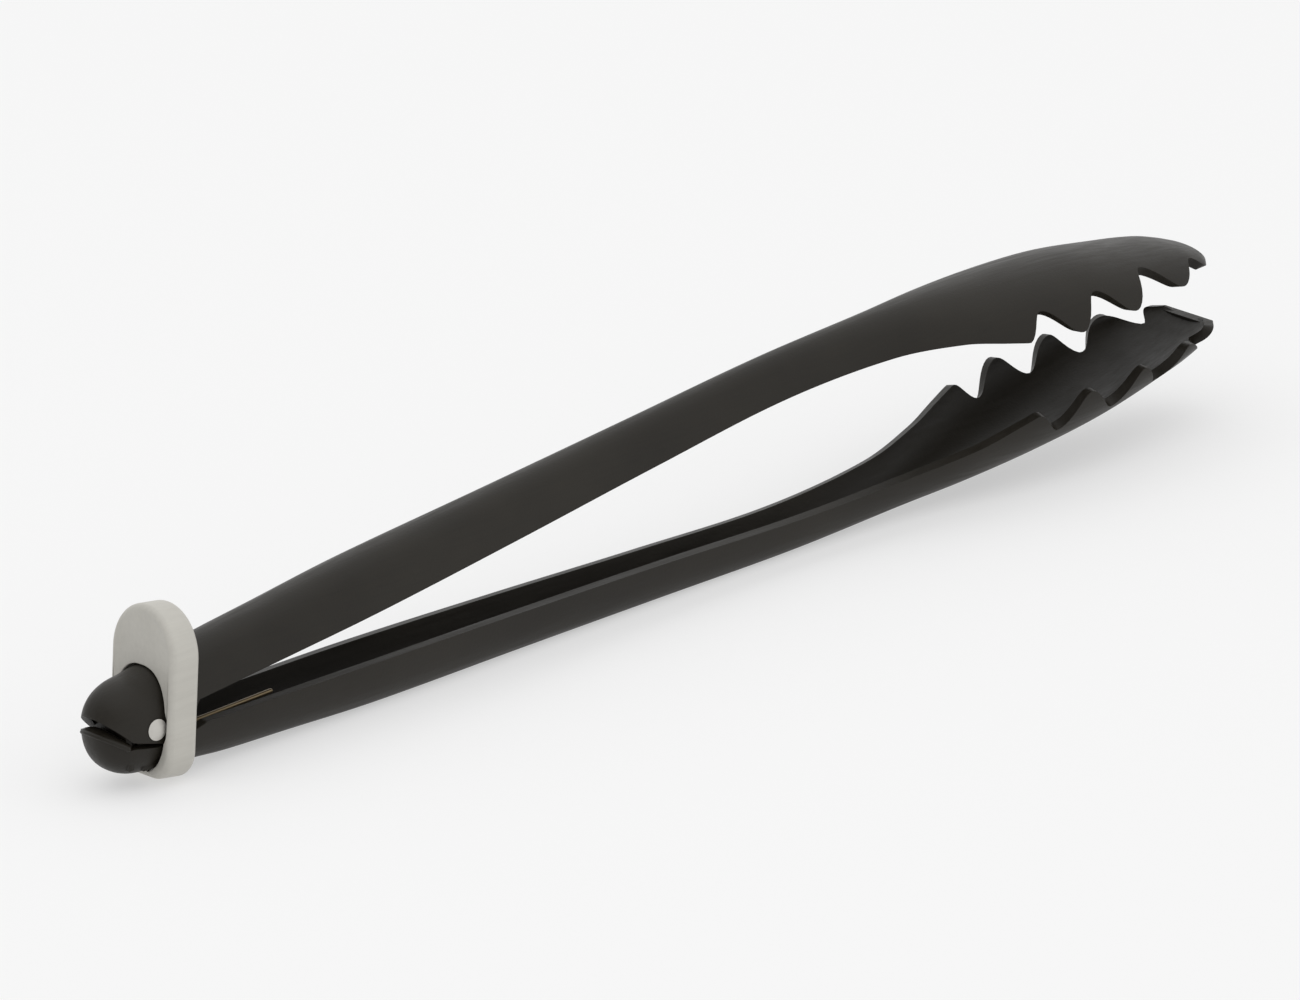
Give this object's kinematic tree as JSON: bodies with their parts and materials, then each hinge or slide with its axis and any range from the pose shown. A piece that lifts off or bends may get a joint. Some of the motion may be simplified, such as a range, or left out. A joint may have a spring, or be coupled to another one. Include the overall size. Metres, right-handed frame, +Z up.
{
  "type": "spring loaded kitchen tongs",
  "caption": "Spring loaded kitchen tongs: slim hollow-backed arms with toothed spoon jaws, hinged on a capped pin, held by an oval lock ring with a thumb tab.",
  "frame": {"origin": "centre of the bounding box in X and Y, on the plane that the tongs lie on", "axes": "+X from the hinge end to the jaw tips, +Z up from the lower arm's back to the upper arm"},
  "size_m": [0.3048, 0.0354, 0.047],
  "materials": {
    "arm_nylon": "moulded dark grey-brown nylon, fine satin texture",
    "grey_plastic": "light warm grey moulded plastic, satin",
    "pin_plastic": "light grey moulded plastic, smooth",
    "sleeve_plastic": "natural moulded acetal",
    "spring_wire": "tempered spring wire, dull straw-brown"
  },
  "bodies": {
    "lower": {"lower_arm": "arm_nylon", "hinge_pin": "pin_plastic", "pin_cap": "pin_plastic", "spring_sleeve": "sleeve_plastic", "torsion_spring": "spring_wire"},
    "upper": {"upper_arm": "arm_nylon"},
    "ring": {"lock_ring": "grey_plastic"}
  },
  "joints": [
    {"name": "arm_hinge", "type": "hinge", "parent": "lower", "child": "upper", "pos_m": [-0.1405, 0, 0.01324], "axis": [0, -1, 0], "range_deg": [-2.7, 12.5], "stiffness_Nm_per_rad": 1.5, "deforming": ["torsion_spring"]},
    {"name": "ring_slide", "type": "slide", "parent": "lower", "child": "ring", "axis": [1, 0, 0], "range_m": [-0.01005, 0.0022]}
  ],
  "couplings": [
    {"joint": "ring_slide", "follows": "arm_hinge", "m_per_rad": -0.045837}
  ]
}
